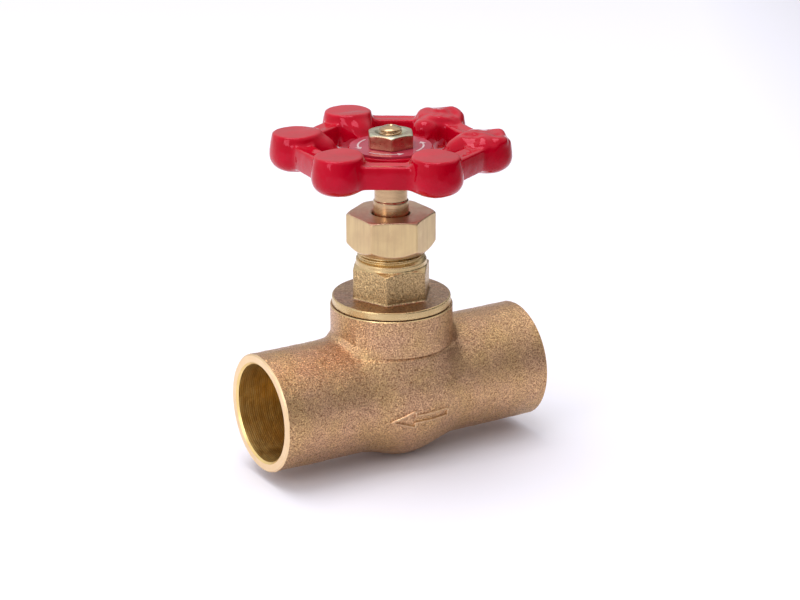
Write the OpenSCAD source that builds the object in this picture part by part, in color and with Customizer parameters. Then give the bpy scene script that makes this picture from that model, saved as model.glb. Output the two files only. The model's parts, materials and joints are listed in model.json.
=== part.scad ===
// Straight globe-pattern stop valve with solder ends, rising stem and handwheel.
// Millimetres, Z up. X is the pipe axis, Z is the stem axis, and the origin lies
// under the crossing of the two, level with the lowest point of the body.
// Inlet at +X, outlet at -X. Drawn fully open, with the stem at the top of its lift.

/* [Body] */
// Length from cup face to cup face
body_len = 68.2; // [56:0.1:90]
// Inside diameter of the solder cups, for tube of 22.22 mm (3/4 inch nominal)
cup_bore_d = 22.36; // [19.5:0.01:24]
// Outside diameter of the two tube ends
end_od = 27.0; // [24.5:0.1:32]
// Depth of each solder cup, from face to tube stop
cup_depth = 19.0; // [14:0.1:23]
// Diameter of the flow passage behind the tube stops
port_d = 19.0; // [15:0.1:19.2]
// Bevel at the mouth of each cup
cup_bevel = 0.5; // [0.2:0.05:0.8]
// How far the belly stands below the tube ends
belly_stand = 2.4; // [1.2:0.1:6.6]
// Outside diameter of the belly about the stem axis
belly_od = 28.8; // [28.2:0.1:34]
// Diameter of the flat under the belly
belly_flat_d = 11.0; // [4:0.5:16]
// Rise of the cast flare around the neck, above the pipe axis
flare_rise = 11.4; // [8:0.1:13]
// Outside diameter of the turned neck
neck_od = 27.8; // [27.4:0.1:32]
// Rise from pipe axis to the top face of the neck
neck_rise = 20.2; // [18:0.1:26]
// Thickness of the cast bridge that carries the seat
bridge_t = 2.2; // [1.6:0.1:3]
// Depth of the bridge top below the pipe axis
bridge_depth = 2.5; // [1.5:0.1:4]
// Diameter of the seat orifice
orifice_d = 14.0; // [10:0.1:15]
// Height of the raised seat lip
seat_lip_h = 0.8; // [0.4:0.1:1.5]
// Radial width of the raised seat lip
seat_lip_w = 1.3; // [0.8:0.1:1.5]

/* [Flow arrow] */
// Length of the raised arrow
arrow_len = 15.0; // [10:0.1:18]
// Length of the arrow head
arrow_head_len = 5.8; // [3:0.1:8]
// Width across the arrow head
arrow_head_w = 4.3; // [3:0.1:7]
// Width of the arrow shaft
arrow_shaft_w = 2.5; // [1.6:0.1:4]
// Width of the raised outline
arrow_line_w = 0.55; // [0.3:0.05:0.8]
// Height of the raised outline above the body
arrow_h = 0.35; // [0.2:0.05:0.6]
// Depth of the arrow centre line below the pipe axis
arrow_drop = 2.9; // [0:0.1:6]

/* [Bonnet] */
// Thickness of the gasket under the bonnet flange
gasket_t = 0.4; // [0.2:0.05:1]
// Diameter of the round bonnet flange
flange_d = 26.94; // [26:0.02:34]
// Thickness of the bonnet flange
flange_t = 1.6; // [1.2:0.1:3]
// Diameter of the bonnet thread in the neck
skirt_d = 22.3; // [20:0.1:24]
// Length of the bonnet skirt below the gasket face
skirt_len = 8.0; // [5:0.1:9]
// Width across the flats of the bonnet hexagon
bonnet_af = 16.4; // [15:0.1:20]
// Height of the bonnet hexagon
bonnet_hex_h = 7.4; // [5:0.1:10]
// Turn of the bonnet hexagon about the stem axis
bonnet_hex_turn = 53.15; // [0:0.05:60]
// Diameter of the turned collar above the hexagon
collar_d = 16.0; // [15.8:0.1:18]
// Height of the turned collar
collar_h = 1.4; // [0.8:0.1:3]
// Outside diameter of the packing-nut thread
gland_thread_d = 15.4; // [14.6:0.1:16]
// Length of the packing-nut thread
gland_thread_len = 8.0; // [6:0.1:11]
// Inside diameter of the stuffing box
box_d = 12.0; // [11:0.1:12.6]
// Length of threaded bore that carries the stem
stem_nut_len = 10.5; // [8:0.1:11]

/* [Packing] */
// Thickness of the washer under the packing
packing_washer_t = 0.8; // [0.5:0.1:1.5]
// Height of one packing ring
packing_ring_h = 2.4; // [1.5:0.1:3]
// Height of the gland follower
gland_h = 4.4; // [3:0.1:6]
// Width across the flats of the packing nut
packing_nut_af = 17.66; // [17:0.02:22]
// Height of the packing nut
packing_nut_h = 9.0; // [7:0.1:11]
// Turn of the packing nut about the stem axis
packing_nut_turn = 33.93; // [0:0.01:60]
// Thickness of the packing-nut roof
packing_roof_t = 2.2; // [1.5:0.1:3]

/* [Stem and disc] */
// Diameter of the stem where it passes the packing
stem_d = 7.94; // [6.5:0.02:8.6]
// Diameter of the stem above its step
stem_top_d = 7.42; // [7.2:0.02:7.8]
// Height of the step above the pipe axis, valve open
stem_step_rise = 44.65; // [43.6:0.05:47]
// Diameter of the stem lift thread
stem_thread_d = 10.2; // [9.4:0.1:10.6]
// Rise per turn of the stem thread
stem_lead = 1.5; // [1:0.05:2.5]
// Turns from open to shut
lift_turns = 4; // [2:0.25:4]
// Diameter of the resilient seat disc
seat_disc_d = 16.0; // [15.6:0.1:16.4]
// Thickness of the resilient seat disc
seat_disc_t = 2.4; // [1.5:0.1:3]
// Thickness of the metal plate of the disc holder
holder_plate_t = 1.7; // [1.2:0.1:2.2]
// Diameter of the head at the foot of the stem
stem_head_d = 9.2; // [8.4:0.1:9.6]
// Thickness of the head at the foot of the stem
stem_head_t = 1.4; // [1:0.1:2]
// Diameter of the stem between its head and its thread
stem_neck_d = 6.4; // [5:0.1:7]
// Width across the flats of the swivel nut
swivel_af = 12.4; // [12:0.1:14]
// Height of the swivel-nut hexagon
swivel_hex_h = 2.9; // [2:0.1:3.4]
// Diameter of the disc screw
disc_screw_d = 3.9; // [3:0.1:5]

/* [Handwheel] */
// Diameter of the circle through the knob centres
knob_circle_d = 42.0; // [38:0.1:60]
// Largest diameter of a knob
knob_d = 12.0; // [10:0.1:14]
// Diameter of the flat on top of a knob
knob_top_d = 10.2; // [8:0.1:11]
// Diameter of the underside of a knob
knob_foot_d = 8.4; // [6:0.1:9.5]
// Height of a knob
knob_h = 8.75; // [7:0.05:12]
// Angle of the first knob about the stem axis
knob_turn = 27.19; // [0:0.01:60]
// Radial width of a rim bar
rim_w = 4.8; // [3:0.1:7]
// Height of a rim bar
rim_h = 5.2; // [4:0.1:7]
// Distance from the stem axis to the outer face of a rim bar
rim_reach = 21.3; // [20.6:0.1:30]
// Width of a spoke
spoke_w = 5.0; // [3:0.1:7]
// Height of a spoke
spoke_h = 5.0; // [4:0.1:7]
// Diameter of the hub
hub_d = 19.2; // [16:0.1:24]
// Height of the hub
hub_h = 4.0; // [3:0.1:7]
// Rise of the hub underside above the pipe axis, valve open
hub_rise = 52.5; // [51:0.1:56]
// Width across the flats of the square drive
square_af = 5.2; // [4.5:0.1:5.2]

/* [Index plate and wheel nut] */
// Diameter of the index plate
plate_d = 18.3; // [14:0.1:22]
// Thickness of the index plate
plate_t = 0.5; // [0.3:0.05:1]
// Width across the flats of the wheel nut
wheel_nut_af = 9.7; // [8:0.1:12]
// Height of the wheel nut
wheel_nut_h = 3.3; // [2.5:0.1:5]
// Turn of the wheel nut about the stem axis
wheel_nut_turn = 3.0; // [0:0.5:60]
// Diameter of the stud that carries the wheel nut
stud_d = 5.2; // [4:0.1:5.2]
// Length of stud that shows above the wheel nut
stud_over = 1.4; // [0.8:0.1:3]

/* [Hidden] */
$fn = 96;
eps = 0.5;
running_gap = 0.1;
seal_gap = 0.03;
thread_gap = 0.05;
shut_gap = 0.02;
free_gap = 0.3;
wall_min = 2.2;
bevel = 0.4;

belly_drop = end_od / 2 + belly_stand;
axis_z = belly_drop;
lift = stem_lead * lift_turns;
end_r = end_od / 2;
cup_r = cup_bore_d / 2;
port_r = port_d / 2;
neck_r = neck_od / 2;
belly_r = belly_od / 2;
stem_r = stem_d / 2;
stop_x = body_len / 2 - cup_depth;

// Heights measured from the pipe axis, valve open
neck_thread_r = skirt_d / 2 + thread_gap;
chamber_r = skirt_d / 2 - 0.95;
bridge_top = -bridge_depth;
bridge_under = bridge_top - bridge_t;
belly_floor = -(belly_drop - wall_min - 0.3);
pocket_r = min(skirt_d / 2 - 0.95, belly_od / 2 - wall_min - 0.6);
wall_x = chamber_r + wall_min;
seat_top = bridge_top + seat_lip_h;
flange_under = neck_rise + gasket_t;
flange_top = flange_under + flange_t;
hex_top = flange_top + bonnet_hex_h;
collar_top = hex_top + collar_h;
stub_top = collar_top + gland_thread_len;
skirt_foot = flange_under - skirt_len - gasket_t;
recess_r = skirt_d / 2 - wall_min;
backseat = skirt_foot + 3.1;
stem_nut_top = backseat + stem_nut_len;
box_floor = stem_nut_top + 1.2;
packing_foot = box_floor + packing_washer_t;
gland_foot = packing_foot + 3 * packing_ring_h;
gland_top = gland_foot + gland_h;
nut_top = gland_top + packing_roof_t;
nut_foot = nut_top - packing_nut_h;

disc_foot = seat_top + lift + shut_gap;
disc_top = disc_foot + seat_disc_t;
rim_foot = disc_foot + 0.9;
holder_r = seat_disc_d / 2 + 0.75;
holder_top = disc_top + holder_plate_t;
cup_floor = holder_top + 0.9;
head_foot = cup_floor + free_gap;
head_top = head_foot + stem_head_t;
swivel_foot = head_top + free_gap;
hub_top_z = swivel_foot + 0.9;
swivel_top = hub_top_z + swivel_hex_h;
swivel_thread_r = stem_head_d / 2 + 0.7;
holder_hub_r = swivel_thread_r + 1.35;
thread_foot = swivel_top + 0.5;
thread_top = stem_nut_top - free_gap;
disc_washer_t = 0.8;
disc_washer_r = disc_screw_d + 0.6;
screw_head_r = disc_screw_d * 0.72;
screw_head_h = 1.5;

knob_foot = hub_rise - 1.3;
knob_mid = knob_foot + knob_h / 2;
hub_top = hub_rise + hub_h;
plate_top = hub_top + plate_t;
wheel_nut_top = plate_top + wheel_nut_h;
stud_top = wheel_nut_top + stud_over;
rim_mid_reach = rim_reach - rim_w / 2;

bronze = [0.71, 0.51, 0.33];
brass = [0.80, 0.67, 0.38];
fibre = [0.25, 0.22, 0.20];
rubber = [0.10, 0.10, 0.10];
enamel = [0.75, 0.06, 0.12];
zinc = [0.62, 0.60, 0.48];

// Node to show

// Moves a piece drawn about the pipe axis up to its place in the frame.
module on_axis() {
    translate([0, 0, axis_z]) children();
}

// A ring or, with no bore, a disc between two heights, with bevelled outer edges.
module ring(r_out, r_in, z_low, z_high, cut = 0) {
    rotate_extrude()
        polygon([
            [r_in, z_low],
            [r_out - cut, z_low],
            [r_out, z_low + cut],
            [r_out, z_high - cut],
            [r_out - cut, z_high],
            [r_in, z_high]
        ]);
}

// A straight cylinder between two heights.
module rod(r, z_low, z_high) {
    translate([0, 0, z_low]) cylinder(r = r, h = z_high - z_low);
}

// A cylinder along X between two places on the pipe axis.
module pipe(r, x_low, x_high) {
    translate([x_low, 0, 0]) rotate([0, 90, 0]) cylinder(r = r, h = x_high - x_low);
}

// A hexagonal prism between two heights.
module hex(af, z_low, z_high, turn) {
    rotate([0, 0, turn])
        translate([0, 0, z_low])
            cylinder(d = af / cos(30), h = z_high - z_low, $fn = 6);
}

// A turned hexagon: bevelled below by cut_low and above by cut_high at its corners.
module turned_hex(af, z_low, z_high, turn, cut_low, cut_high) {
    corner_r = af / cos(30) / 2 + 0.01;
    intersection() {
        hex(af, z_low, z_high, turn);
        rotate_extrude()
            polygon([
                [0, z_low],
                [corner_r - cut_low, z_low],
                [corner_r, z_low + cut_low * tan(30)],
                [corner_r, z_high - cut_high * tan(30)],
                [corner_r - cut_high, z_high],
                [0, z_high]
            ]);
    }
}

// Outside of the casting, optionally grown outward.
module outer_form(grow = 0) {
    pipe(end_r + grow, -body_len / 2, body_len / 2);
    rod(neck_r + grow, 0, neck_rise);
    rotate_extrude()
        polygon([
            [0, -belly_drop - grow],
            [belly_flat_d / 2, -belly_drop - grow],
            [belly_r * 0.66, -belly_drop * 0.90 - grow],
            [belly_r * 0.86, -belly_drop * 0.74 - grow],
            [belly_r * 0.965 + grow, -belly_drop * 0.50],
            [belly_r + grow, -belly_drop * 0.22],
            [belly_r + grow, flare_rise - 5.5],
            [neck_r + 0.02 + grow, flare_rise],
            [0, flare_rise]
        ]);
}

// Flat outline of the flow arrow, tip toward -X, grown inward by inset.
module arrow_shape(inset) {
    half = arrow_len / 2;
    neck_x = -half + arrow_head_len;
    // The tip of an inset wedge draws back by inset over the sine of its half angle
    tip_angle = atan2(arrow_head_w / 2, arrow_head_len);
    tip_x = -half + inset / sin(tip_angle);
    barb_x = neck_x - inset;
    barb_y = (barb_x - tip_x) * tan(tip_angle);
    shaft_y = arrow_shaft_w / 2 - inset;
    polygon([
        [tip_x, 0],
        [barb_x, barb_y],
        [barb_x, shaft_y],
        [half - inset, shaft_y],
        [half - inset, -shaft_y],
        [barb_x, -shaft_y],
        [barb_x, -barb_y]
    ]);
}

module flow_arrow() {
    intersection() {
        translate([-0.7, 0, -arrow_drop])
            rotate([90, 0, 0])
                linear_extrude(height = belly_r + 2)
                    difference() {
                        arrow_shape(0);
                        arrow_shape(arrow_line_w);
                    }
        outer_form(arrow_h);
    }
}

// Everything below (or above) a level, as wide as the casting.
module half_space(z_low, z_high) {
    translate([-body_len, -belly_od, z_low]) cube([2 * body_len, 2 * belly_od, z_high - z_low]);
}

// Pocket under the bridge, drawn in with the belly so that its wall stays even.
module pocket() {
    rotate_extrude()
        polygon([
            [0, belly_floor],
            [belly_flat_d / 2 - 0.5, belly_floor],
            [belly_r * 0.57, -belly_drop * 0.90 + wall_min - 0.1],
            [pocket_r, -belly_drop * 0.74 + wall_min - 0.8],
            [pocket_r, bridge_under],
            [0, bridge_under]
        ]);
}

// Passages inside the casting: cups, ports, the chamber over the bridge and the
// pocket under it.
module passages() {
    for (side = [-1, 1]) {
        rotate([0, 0, side > 0 ? 0 : 180]) {
            pipe(cup_r, stop_x, body_len / 2 + eps);
            pipe(port_r, wall_x, stop_x + eps);
            translate([body_len / 2 - cup_bevel, 0, 0])
                rotate([0, 90, 0])
                    cylinder(r1 = cup_r, r2 = cup_r + 2 * cup_bevel, h = 2 * cup_bevel);
        }
    }
    // The two links between ports and chambers are faceted, inside the port's circle
    intersection() {
        pipe(port_r, 0, wall_x + eps, $fn = 12);
        half_space(-belly_drop, bridge_under);
    }
    intersection() {
        pipe(port_r, -wall_x - eps, 0, $fn = 12);
        half_space(bridge_top, belly_drop);
    }
    pocket();
    rod(chamber_r, bridge_top, skirt_foot);
    rod(neck_thread_r, skirt_foot - 0.6, neck_rise + eps);
    rod(orifice_d / 2, bridge_under - eps, bridge_top + eps);
}

module valve_body() {
    color(bronze) on_axis() {
        difference() {
            union() {
                outer_form();
                flow_arrow();
            }
            passages();
        }
        ring(orifice_d / 2 + seat_lip_w, orifice_d / 2, bridge_top - 0.2, seat_top, 0.2);
    }
}

module bonnet_gasket() {
    color(fibre) on_axis()
        ring(flange_d / 2 - 0.35, neck_thread_r + 0.3, neck_rise, flange_under);
}

module bonnet() {
    color(bronze) on_axis() difference() {
        union() {
            rod(skirt_d / 2, skirt_foot, flange_under + eps);
            ring(flange_d / 2, 0, flange_under, flange_top, 0.15);
            hex(bonnet_af, flange_top - eps, hex_top, bonnet_hex_turn);
            ring(collar_d / 2, 0, hex_top - eps, collar_top, 0.2);
            ring(gland_thread_d / 2, 0, collar_top - eps, stub_top, bevel);
        }
        rod(recess_r, skirt_foot - eps, backseat);
        rod(stem_thread_d / 2 + running_gap, backseat - eps, stem_nut_top);
        rod(stem_r + running_gap, stem_nut_top - eps, box_floor + eps);
        rod(box_d / 2, box_floor, stub_top + eps);
    }
}

module packing_washer() {
    color(brass) on_axis()
        ring(box_d / 2 - running_gap, stem_r + running_gap, box_floor, packing_foot);
}

module packing_ring(index) {
    foot = packing_foot + index * packing_ring_h;
    color(fibre) on_axis()
        ring(box_d / 2 - seal_gap, stem_r + seal_gap, foot, foot + packing_ring_h);
}

module packing_ring_lower() {
    packing_ring(0);
}

module packing_ring_middle() {
    packing_ring(1);
}

module packing_ring_upper() {
    packing_ring(2);
}

module packing_gland() {
    color(brass) on_axis()
        ring(box_d / 2 - running_gap, stem_r + running_gap, gland_foot, gland_top, 0.2);
}

module packing_nut() {
    color(brass) on_axis() difference() {
        turned_hex(packing_nut_af, nut_foot, nut_top, packing_nut_turn, 2.35, 0.6);
        rod(gland_thread_d / 2 + thread_gap, nut_foot - eps, gland_top);
        rod(stem_r + free_gap, gland_top - eps, nut_top + eps);
    }
}

// The square of the stem, or with a gap the square hole that fits it.
module square_drive(gap, z_low, z_high) {
    side = square_af + 2 * gap;
    rotate([0, 0, knob_turn])
        translate([-side / 2, -side / 2, z_low])
            cube([side, side, z_high - z_low]);
}

module stem() {
    color(brass) on_axis() {
        ring(stem_head_d / 2, 0, head_foot, head_top, 0.2);
        rod(stem_neck_d / 2, head_top - 0.2, thread_foot + eps);
        ring(stem_thread_d / 2, 0, thread_foot, thread_top, 0.5);
        rod(stem_r, thread_top - eps, stem_step_rise);
        rod(stem_top_d / 2, stem_step_rise - eps, hub_rise);
        square_drive(0, hub_rise - eps, hub_top - 0.3);
        ring(stud_d / 2, 0, hub_top - eps, stud_top, bevel);
    }
}

module disc_holder() {
    color(brass) on_axis() difference() {
        union() {
            ring(holder_r, 0, rim_foot, holder_top, 0.2);
            rod(holder_hub_r, holder_top - 0.2, hub_top_z);
        }
        rod(seat_disc_d / 2 + thread_gap, rim_foot - eps, disc_top);
        rod(swivel_thread_r + thread_gap, cup_floor, hub_top_z + eps);
        rod(disc_screw_d / 2 + thread_gap, disc_top - eps, cup_floor + eps);
    }
}

module swivel_nut() {
    color(brass) on_axis() difference() {
        union() {
            rod(swivel_thread_r, swivel_foot, hub_top_z + eps);
            turned_hex(swivel_af, hub_top_z, swivel_top, bonnet_hex_turn, 0.3, 0.6);
        }
        rod(stem_neck_d / 2 + free_gap, swivel_foot - eps, swivel_top + eps);
    }
}

module seat_disc() {
    color(rubber) on_axis()
        ring(seat_disc_d / 2, disc_screw_d / 2 + thread_gap, disc_foot, disc_top);
}

module disc_washer() {
    color(brass) on_axis()
        ring(disc_washer_r, disc_screw_d / 2 + thread_gap, disc_foot - disc_washer_t, disc_foot, 0.15);
}

module disc_screw() {
    head_low = disc_foot - disc_washer_t - screw_head_h;
    color(brass) on_axis() difference() {
        union() {
            ring(screw_head_r, 0, head_low, head_low + screw_head_h, 0.3);
            rod(disc_screw_d / 2, head_low + screw_head_h - 0.3, cup_floor);
        }
        translate([-screw_head_r - eps, -0.4, head_low - eps])
            cube([2 * screw_head_r + 2 * eps, 0.8, 0.7 + eps]);
    }
}

// One knob, standing on its own axis.
module knob() {
    r = knob_d / 2;
    rotate_extrude()
        polygon([
            [0, knob_foot],
            [knob_foot_d / 2, knob_foot],
            [r - 0.75, knob_foot + 0.55],
            [r - 0.15, knob_foot + 1.7],
            [r, knob_foot + knob_h * 0.42],
            [r, knob_foot + knob_h * 0.66],
            [r - 0.15, knob_foot + knob_h - 1.4],
            [knob_top_d / 2 + 0.25, knob_foot + knob_h - 0.35],
            [knob_top_d / 2, knob_foot + knob_h],
            [0, knob_foot + knob_h]
        ]);
}

// Section of a bar with bevelled edges, centred on the origin.
module bar_section(w, h, cut) {
    polygon([
        [-w / 2, -h / 2 + cut],
        [-w / 2 + cut, -h / 2],
        [w / 2 - cut, -h / 2],
        [w / 2, -h / 2 + cut],
        [w / 2, h / 2 - cut],
        [w / 2 - cut, h / 2],
        [-w / 2 + cut, h / 2],
        [-w / 2, h / 2 - cut]
    ]);
}

// Straight rim bar between two neighbouring knobs.
module rim_bar() {
    half_len = knob_circle_d / 4 - 0.5;
    translate([rim_mid_reach, half_len, knob_mid])
        rotate([90, 0, 0])
            linear_extrude(height = 2 * half_len)
                bar_section(rim_w, rim_h, 1.0);
}

// Spoke from the hub out into a knob, its top arched.
module spoke() {
    reach = knob_circle_d / 2 - hub_d / 2 + 3;
    translate([hub_d / 2 - 2, 0, hub_rise + spoke_h / 2 + 0.2])
        rotate([90, 0, 90])
            linear_extrude(height = reach)
                bar_section(spoke_w, spoke_h, 1.3);
}

module handwheel() {
    color(enamel) on_axis() difference() {
        union() {
            ring(hub_d / 2, 0, hub_rise, hub_top, 0.3);
            for (i = [0:5]) {
                rotate([0, 0, knob_turn + 60 * i]) {
                    translate([knob_circle_d / 2, 0, 0]) knob();
                    spoke();
                }
                rotate([0, 0, knob_turn + 60 * i + 30]) rim_bar();
            }
        }
        square_drive(thread_gap, hub_rise - eps, hub_top + eps);
        rod(plate_d / 2 + 0.1, hub_top, hub_top + spoke_h);
    }
}

module index_plate() {
    color(enamel) on_axis()
        ring(plate_d / 2, square_af / 2 + 0.3, hub_top, plate_top);
}

module wheel_nut() {
    color(zinc) on_axis() difference() {
        turned_hex(wheel_nut_af, plate_top, wheel_nut_top, wheel_nut_turn, 0.3, 0.6);
        rod(stud_d / 2 + thread_gap, plate_top - eps, wheel_nut_top + eps);
    }
}

valve_body();
bonnet_gasket();
bonnet();
packing_washer();
packing_ring_lower();
packing_ring_middle();
packing_ring_upper();
packing_gland();
packing_nut();
stem();
disc_holder();
swivel_nut();
seat_disc();
disc_washer();
disc_screw();
handwheel();
index_plate();
wheel_nut();
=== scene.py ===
"""Looks for a bronze stop valve with solder ends and a red enamelled handwheel."""

import json
import math

import bmesh
import bpy
import numpy as np
import openvdb as vdb
from mathutils import Matrix, Vector


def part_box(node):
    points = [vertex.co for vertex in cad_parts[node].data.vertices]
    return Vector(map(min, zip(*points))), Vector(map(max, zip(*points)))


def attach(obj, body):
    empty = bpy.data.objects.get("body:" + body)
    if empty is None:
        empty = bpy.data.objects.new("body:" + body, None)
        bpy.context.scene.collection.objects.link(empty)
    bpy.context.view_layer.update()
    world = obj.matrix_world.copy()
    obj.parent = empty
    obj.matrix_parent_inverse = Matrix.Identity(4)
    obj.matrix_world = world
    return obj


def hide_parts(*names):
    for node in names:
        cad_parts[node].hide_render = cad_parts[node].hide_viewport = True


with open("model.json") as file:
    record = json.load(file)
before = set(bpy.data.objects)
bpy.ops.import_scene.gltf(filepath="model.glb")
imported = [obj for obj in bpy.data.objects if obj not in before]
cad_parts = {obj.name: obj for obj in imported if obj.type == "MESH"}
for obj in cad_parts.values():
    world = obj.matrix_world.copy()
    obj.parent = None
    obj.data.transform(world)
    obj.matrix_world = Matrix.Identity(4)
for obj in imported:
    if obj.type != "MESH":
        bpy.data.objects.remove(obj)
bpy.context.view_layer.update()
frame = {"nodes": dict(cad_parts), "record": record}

# Shapes below are in millimetres about the crossing of the pipe axis and the stem axis.
MM = 0.001
AXIS_Z = frame["record"]["mounts"][0]["pos_m"][2] / MM
CUP_R = frame["record"]["mounts"][0]["dims"]["r_mm"]
CUP_DEPTH = frame["record"]["mounts"][0]["dims"]["length_mm"]


def span(node):
    """Lowest and highest corner of a CAD node, in millimetres about the axis crossing."""
    low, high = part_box(node)
    shift = np.array([0, 0, AXIS_Z])
    return np.array(low) / MM - shift, np.array(high) / MM - shift


BODY_LOW, BODY_HIGH = span("valve_body")
BONNET_LOW, BONNET_HIGH = span("bonnet")
GASKET_HIGH = span("bonnet_gasket")[1]
NUT_LOW, NUT_HIGH = span("packing_nut")
STEM_LOW, STEM_HIGH = span("stem")
WHEEL_LOW, WHEEL_HIGH = span("handwheel")
PLATE_LOW, PLATE_HIGH = span("index_plate")
TOP_NUT_LOW, TOP_NUT_HIGH = span("wheel_nut")
GLAND_HIGH = span("packing_gland")[1]

TUBE_R = 13.49
NECK_R = 13.9
PORT_R = 9.5
WALL_X = 12.4
KNOB_ANGLE = 27.19
BONNET_ANGLE = 53.15
NUT_ANGLE = 33.93
TOP_NUT_ANGLE = 3.0


# ---------------------------------------------------------------- shapes as distance fields


class Grid:
    """A box of sample points, with broadcastable coordinates."""

    def __init__(self, low, high, step):
        self.low = np.array(low, dtype=float)
        self.step = step
        counts = np.ceil((np.array(high) - self.low) / step).astype(int) + 1
        self.shape = tuple(counts)
        axes = [(self.low[i] + step * np.arange(counts[i])).astype(np.float32) for i in range(3)]
        self.x = axes[0][:, None, None]
        self.y = axes[1][None, :, None]
        self.z = axes[2][None, None, :]
        self.r = np.sqrt(self.x**2 + self.y**2)

    def turned(self, degrees):
        """x and y as seen from axes turned by this angle about the stem axis."""
        a = math.radians(degrees)
        u = self.x * math.cos(a) + self.y * math.sin(a)
        v = -self.x * math.sin(a) + self.y * math.cos(a)
        return u, v


def blend(a, b, k):
    """Union of two fields with a fillet of about k."""
    h = np.maximum(k - np.abs(a - b), 0) / k
    return np.minimum(a, b) - h * h * k / 4


def carve(a, b, k):
    """Intersection of two fields with an edge rounded by about k."""
    h = np.maximum(k - np.abs(a - b), 0) / k
    return np.maximum(a, b) + h * h * k / 4


def slab(z, low, high):
    """Everything between two heights."""
    return np.maximum(low - z, z - high)


def round_box(u, v, w, half, radius):
    """A box of half sizes half about the origin, its edges rounded."""
    qu = np.abs(u) - (half[0] - radius)
    qv = np.abs(v) - (half[1] - radius)
    qw = np.abs(w) - (half[2] - radius)
    outside = np.sqrt(np.maximum(qu, 0) ** 2 + np.maximum(qv, 0) ** 2 + np.maximum(qw, 0) ** 2)
    return outside + np.minimum(np.maximum(qu, np.maximum(qv, qw)), 0) - radius


def round_rod(r, z, radius, low, high, edge_low, edge_high):
    """An upright cylinder with its own edge radius at each end."""
    side = r - radius
    d = carve(side, z - high, edge_high * 2)
    return carve(d, low - z, edge_low * 2)


def hexagon(grid, across_flats, angle, edge):
    """An endless hexagonal bar with corners at angle, its edges rounded by edge."""
    d = None
    for k in range(3):
        u, _ = grid.turned(angle + 30 + 60 * k)
        side = np.abs(u) - across_flats / 2
        d = side if d is None else carve(d, side, edge)
    return d


def screw(grid, crest_r, depth, pitch):
    """A right-handed V thread with rounded crests."""
    turn = np.arctan2(grid.y, grid.x) / (2 * math.pi)
    phase = grid.z / pitch - turn
    tooth = 2 * np.abs(phase - np.floor(phase) - 0.5)
    tooth = np.clip(tooth * 1.25 - 0.1, 0, 1)
    return (grid.r - crest_r + depth * tooth) * 0.8


def lattice_noise(points, scale, seed):
    """Smooth noise from -1 to 1 at points, in millimetres, with features of size scale."""
    rng = np.random.default_rng(seed)
    table = rng.uniform(-1, 1, 4096)
    q = points / scale
    cell = np.floor(q).astype(np.int64)
    f = q - cell
    f = f * f * (3 - 2 * f)
    total = np.zeros(len(points))
    for corner in range(8):
        dx, dy, dz = corner & 1, corner >> 1 & 1, corner >> 2 & 1
        key = (cell[:, 0] + dx) * 73856093 ^ (cell[:, 1] + dy) * 19349663 ^ (cell[:, 2] + dz) * 83492791
        weight = (
            np.where(dx, f[:, 0], 1 - f[:, 0])
            * np.where(dy, f[:, 1], 1 - f[:, 1])
            * np.where(dz, f[:, 2], 1 - f[:, 2])
        )
        total += weight * table[key & 4095]
    return total


# ---------------------------------------------------------------- meshes


def new_object(name, points, faces):
    """A shown mesh object from points in millimetres about the axis crossing."""
    mesh = bpy.data.meshes.new(name)
    points = np.asarray(points, dtype=float) + [0, 0, AXIS_Z]
    mesh.from_pydata((points * MM).tolist(), [], faces)
    mesh.validate()
    obj = bpy.data.objects.new(name, mesh)
    bpy.context.scene.collection.objects.link(obj)
    return obj


def skin(name, grid, field):
    """The surface where a field is zero, as an object."""
    volume = vdb.FloatGrid(10.0)
    volume.copyFromArray(np.array(np.broadcast_to(field, grid.shape), dtype=np.float32, order="C"))
    points, quads = volume.convertToQuads(isovalue=0.0)
    points = points * grid.step + grid.low
    a, b, c, d = (points[quads[:, i]] for i in range(4))
    volume6 = np.einsum("ij,ij->i", a, np.cross(b, c)).sum()
    volume6 += np.einsum("ij,ij->i", a, np.cross(c, d)).sum()
    if volume6 < 0:
        quads = quads[:, ::-1]
    return new_object(name, points, quads.tolist())


def roughen(obj, waves, keep=None):
    """Moves vertices along their normals by noise: waves are (height, size, seed)."""
    mesh = obj.data
    count = len(mesh.vertices)
    points = np.empty(count * 3)
    normals = np.empty(count * 3)
    mesh.vertices.foreach_get("co", points)
    mesh.vertices.foreach_get("normal", normals)
    points = points.reshape(-1, 3) / MM - [0, 0, AXIS_Z]
    normals = normals.reshape(-1, 3)
    lift = np.zeros(count)
    for height, size, seed in waves:
        lift += height * lattice_noise(points, size, seed)
    if keep is not None:
        lift *= keep(points)
    points += normals * lift[:, None]
    mesh.vertices.foreach_set("co", ((points + [0, 0, AXIS_Z]) * MM).ravel())
    mesh.update()


def lathe(name, profile, along="z", turns=192):
    """A closed solid of revolution. profile is (radius, height) from axis to axis."""
    points = []
    faces = []
    rings = []
    for r, h in profile:
        if r <= 0:
            rings.append([len(points)])
            points.append((0, 0, h))
        else:
            rings.append(list(range(len(points), len(points) + turns)))
            for i in range(turns):
                a = 2 * math.pi * i / turns
                points.append((r * math.cos(a), r * math.sin(a), h))
    for low, high in zip(rings, rings[1:]):
        for i in range(turns):
            j = (i + 1) % turns
            if len(low) == 1:
                faces.append((low[0], high[j], high[i]))
            elif len(high) == 1:
                faces.append((low[i], low[j], high[0]))
            else:
                faces.append((low[i], low[j], high[j], high[i]))
    points = np.array(points)
    if along == "x":
        points = points[:, [2, 0, 1]]
    obj = new_object(name, points, faces)
    outward(obj)
    return obj


def prism(name, outline, x_low, x_high):
    """A closed prism along X from a (y, z) outline."""
    n = len(outline)
    points = [(x_low, y, z) for y, z in outline] + [(x_high, y, z) for y, z in outline]
    faces = [tuple(range(n)), tuple(range(2 * n - 1, n - 1, -1))]
    faces += [(i, i + n, (i + 1) % n + n, (i + 1) % n) for i in range(n)]
    obj = new_object(name, points, faces)
    outward(obj)
    return obj


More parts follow.
